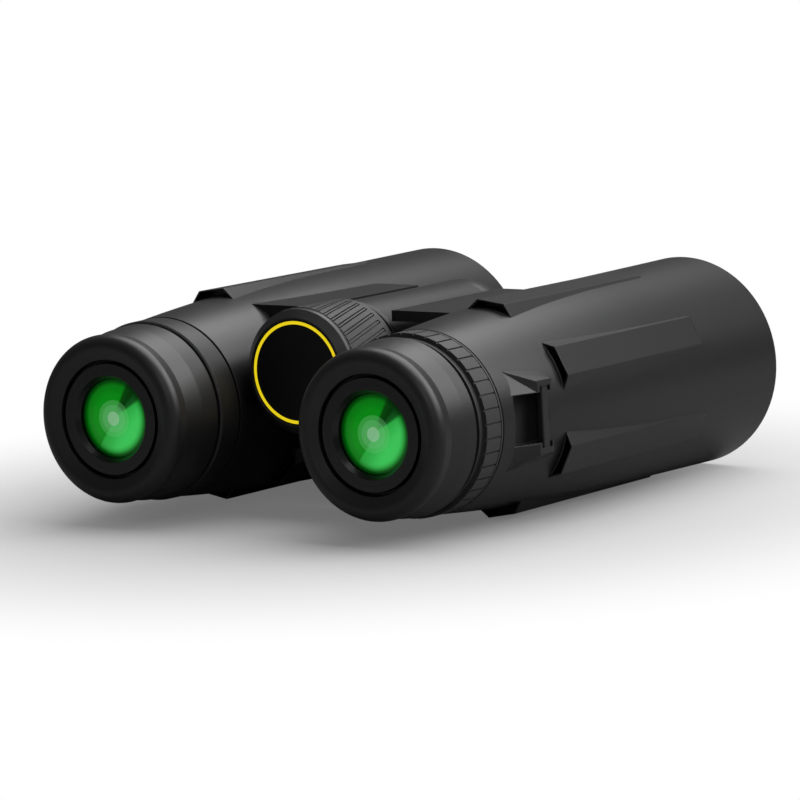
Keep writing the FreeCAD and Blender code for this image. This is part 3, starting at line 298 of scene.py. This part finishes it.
def make_materials():
    return {
        # armour, housing and spine get painted shade in their crevices
        "armour": plain("armour_rubber", RUBBER, 0.39, edge=0.35 * MM, grain=0.2, crevice_shade_reach=5.0 * MM),
        "eyecup": plain("eyecup_rubber", EYECUP, 0.42, edge=0.2 * MM),
        "grip": plain("grip_rubber", GRIP, 0.48, edge=0.12 * MM),
        "seal": plain("seal_rubber", SEAL, 0.6),
        "housing": plain("housing_plastic", PLASTIC, 0.55, edge=0.2 * MM, crevice_shade_reach=6.0 * MM),
        "inner": plain("inner_plastic", INNER, 0.6),
        "tile": plain("ring_plastic", TILE, 0.47, edge=0.1 * MM),
        "collar": plain("collar_plastic", EYECUP, 0.42, edge=0.15 * MM),
        "spine": plain("spine_plastic", RUBBER, 0.40, edge=0.3 * MM, crevice_shade_reach=4.0 * MM),
        "cap": plain("cap_plastic", EYECUP, 0.40, edge=0.3 * MM),
        "badge": badge_plastic("badge_plastic"),
        "gloss": plain("gloss_black", GLOSS, 0.30, edge=0.1 * MM),
        "anodised": plain("anodised_black", ANODISED, 0.38, metallic=0.4),
        "bar": plain("coated_bar", ANODISED, 0.45, edge=0.2 * MM),
        "steel": plain("turned_steel", STEEL, 0.28, metallic=1.0),
        "brass": plain("turned_brass", BRASS, 0.30, metallic=1.0),
        "acetal": plain("washer_acetal", ACETAL, 0.45),
        "objective": objective_glass("objective_glass"),
        "clear": clear_glass("clear_glass"),
        "eye_left": eye_glass("eye_glass_left", (-HALF_IPD, AXIS_Z)),
        "eye_right": eye_glass("eye_glass_right", (HALF_IPD, AXIS_Z)),
    }


# which finish each node takes: first those on both sides, then the single ones
SIDED = {
    "armour": "armour",
    "housing": "housing",
    "strap_bar": "bar",
    "eyepiece_mount": "inner",
    "eyecup_rubber": "eyecup",
    "eyecup_core": "inner",
    "eyecup_sleeve": "inner",
    "ocular_tube": "gloss",
    "eyepiece_retainer": "gloss",
    "eyepiece_doublet": "clear",
    "field_lens": "clear",
    "focus_lens": "clear",
    "roof_prism": "clear",
    "half_prism": "clear",
    "prism_cage": "inner",
    "field_stop": "anodised",
    "focus_cell": "anodised",
    "focus_arm": "anodised",
    "objective_lens": "objective",
    "objective_cell": "anodised",
    "objective_retainer": "anodised",
    "objective_seal": "seal",
}
SINGLE = {
    "left_eye_lens": "eye_left",
    "right_eye_lens": "eye_right",
    "left_eyepiece_collar": "collar",
    "dioptre_ring": "tile",
    "spine_cover": "spine",
    "focus_wheel_cap": "cap",
    "focus_wheel_grip": "grip",
    "focus_wheel_badge": "badge",
    "focus_wheel_hub": "anodised",
    "hinge_end_nut": "anodised",
    "hinge_axle": "steel",
    "focus_screw": "steel",
    "focus_carrier": "brass",
    "tripod_bush": "brass",
    "friction_washers": "acetal",
}


def paint_nodes(materials):
    finish = dict(SINGLE)
    for side in ("left_", "right_"):
        for name, key in SIDED.items():
            finish[side + name] = key
    for name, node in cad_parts.items():
        node.data.materials.clear()
        node.data.materials.append(materials[finish[name]])


# ---------------------------------------------------------------- stage


def add_camera():
    az, el, roll = (math.radians(v) for v in (CAMERA_AZIMUTH, CAMERA_ELEVATION, CAMERA_ROLL))
    right = Vector((math.cos(az), math.sin(az), 0))
    back = Vector((math.sin(az) * math.cos(el), -math.cos(az) * math.cos(el), math.sin(el)))
    up = back.cross(right)
    target = AIM + right * AIM_RIGHT + up * AIM_UP
    x = right * math.cos(roll) + up * math.sin(roll)
    y = up * math.cos(roll) - right * math.sin(roll)
    data = bpy.data.cameras.new("camera")
    data.lens = CAMERA_LENS
    data.sensor_width = CAMERA_SENSOR
    data.clip_start = CAMERA_NEAR
    data.clip_end = CAMERA_FAR
    camera = bpy.data.objects.new("camera", data)
    turned = Matrix((x, y, back)).transposed().to_4x4()
    camera.matrix_world = Matrix.Translation(target + back * CAMERA_DISTANCE) @ turned
    bpy.context.scene.collection.objects.link(camera)
    bpy.context.scene.camera = camera


def floor_material():
    """White that keeps the cast shadow near the object inside a painted broad shadow, which turns plain
    white away from it.

    The camera and clear glass see that. Light that bounces off the floor meets a darker grey.
    """
    m = Nodes("floor_white")
    path = m.add("ShaderNodeLightPath")
    seen = m.math("MAXIMUM", path.outputs["Is Camera Ray"], path.outputs["Is Transmission Ray"])
    m.link(m.mix(seen, FLOOR_BOUNCE, FLOOR_SEEN), m.shader.inputs["Base Color"])
    m.shader.inputs["Roughness"].default_value = 0.9
    m.shader.inputs["Specular IOR Level"].default_value = 0.0
    place = m.add("ShaderNodeTexCoord").outputs["Object"]
    split = m.add("ShaderNodeSeparateXYZ")
    m.link(place, split.inputs[0])
    # painted broad shadow: lit floor near the object, mixed into plain white further out
    across = m.math("DIVIDE", split.outputs[0], FLOOR_PAINTED_SHADE_HALF_X)
    along = m.math("DIVIDE", m.math("SUBTRACT", split.outputs[1], FLOOR_PAINTED_SHADE_Y), FLOOR_PAINTED_SHADE_HALF_Y)
    white = m.ramp(m.radius(across, along), FLOOR_PAINTED_SHADE_FADE)
    plain_white = m.add("ShaderNodeEmission")
    blend = m.add("ShaderNodeMixShader")
    m.link(m.math("MULTIPLY", white, seen), blend.inputs[0])
    m.link(m.shader.outputs[0], blend.inputs[1])
    m.link(plain_white.outputs[0], blend.inputs[2])
    m.link(blend.outputs[0], m.tree.nodes["Material Output"].inputs[0])
    return m.material


def add_floor():
    mesh = bpy.data.meshes.new("floor")
    corners = [(x * FLOOR_HALF, y * FLOOR_HALF, 0) for x, y in ((-1, -1), (1, -1), (1, 1), (-1, 1))]
    mesh.from_pydata(corners, [], [(0, 1, 2, 3)])
    floor = bpy.data.objects.new("floor", mesh)
    floor.location.z = -FLOOR_DROP
    bpy.context.scene.collection.objects.link(floor)
    mesh.materials.append(floor_material())


def add_area(name, location, aim, width, height, power):
    data = bpy.data.lights.new(name, "AREA")
    data.shape = "RECTANGLE"
    data.size = width
    data.size_y = height
    data.energy = power
    light = bpy.data.objects.new(name, data)
    direction = Vector(aim) - Vector(location)
    light.location = location
    light.rotation_mode = "QUATERNION"
    light.rotation_quaternion = direction.to_track_quat("-Z", "Y")
    bpy.context.scene.collection.objects.link(light)


def set_world():
    """Dim surroundings that light the object, and plain white where the camera sees past it."""
    world = bpy.data.worlds.new("surroundings")
    bpy.context.scene.world = world
    world.use_nodes = True
    tree = world.node_tree
    tree.nodes.clear()
    out = tree.nodes.new("ShaderNodeOutputWorld")
    path = tree.nodes.new("ShaderNodeLightPath")
    ambient = tree.nodes.new("ShaderNodeBackground")
    ambient.inputs[0].default_value = (*WHITE, 1.0)
    ambient.inputs[1].default_value = AMBIENT
    white = tree.nodes.new("ShaderNodeBackground")
    white.inputs[0].default_value = (*WHITE, 1.0)
    white.inputs[1].default_value = 1.0
    mix = tree.nodes.new("ShaderNodeMixShader")
    tree.links.new(path.outputs["Is Camera Ray"], mix.inputs[0])
    tree.links.new(ambient.outputs[0], mix.inputs[1])
    tree.links.new(white.outputs[0], mix.inputs[2])
    tree.links.new(mix.outputs[0], out.inputs[0])


paint_nodes(make_materials())
add_camera()
add_floor()
set_world()
for light in LIGHTS:
    add_area(*light)
bpy.context.scene.view_settings.view_transform = "Standard"
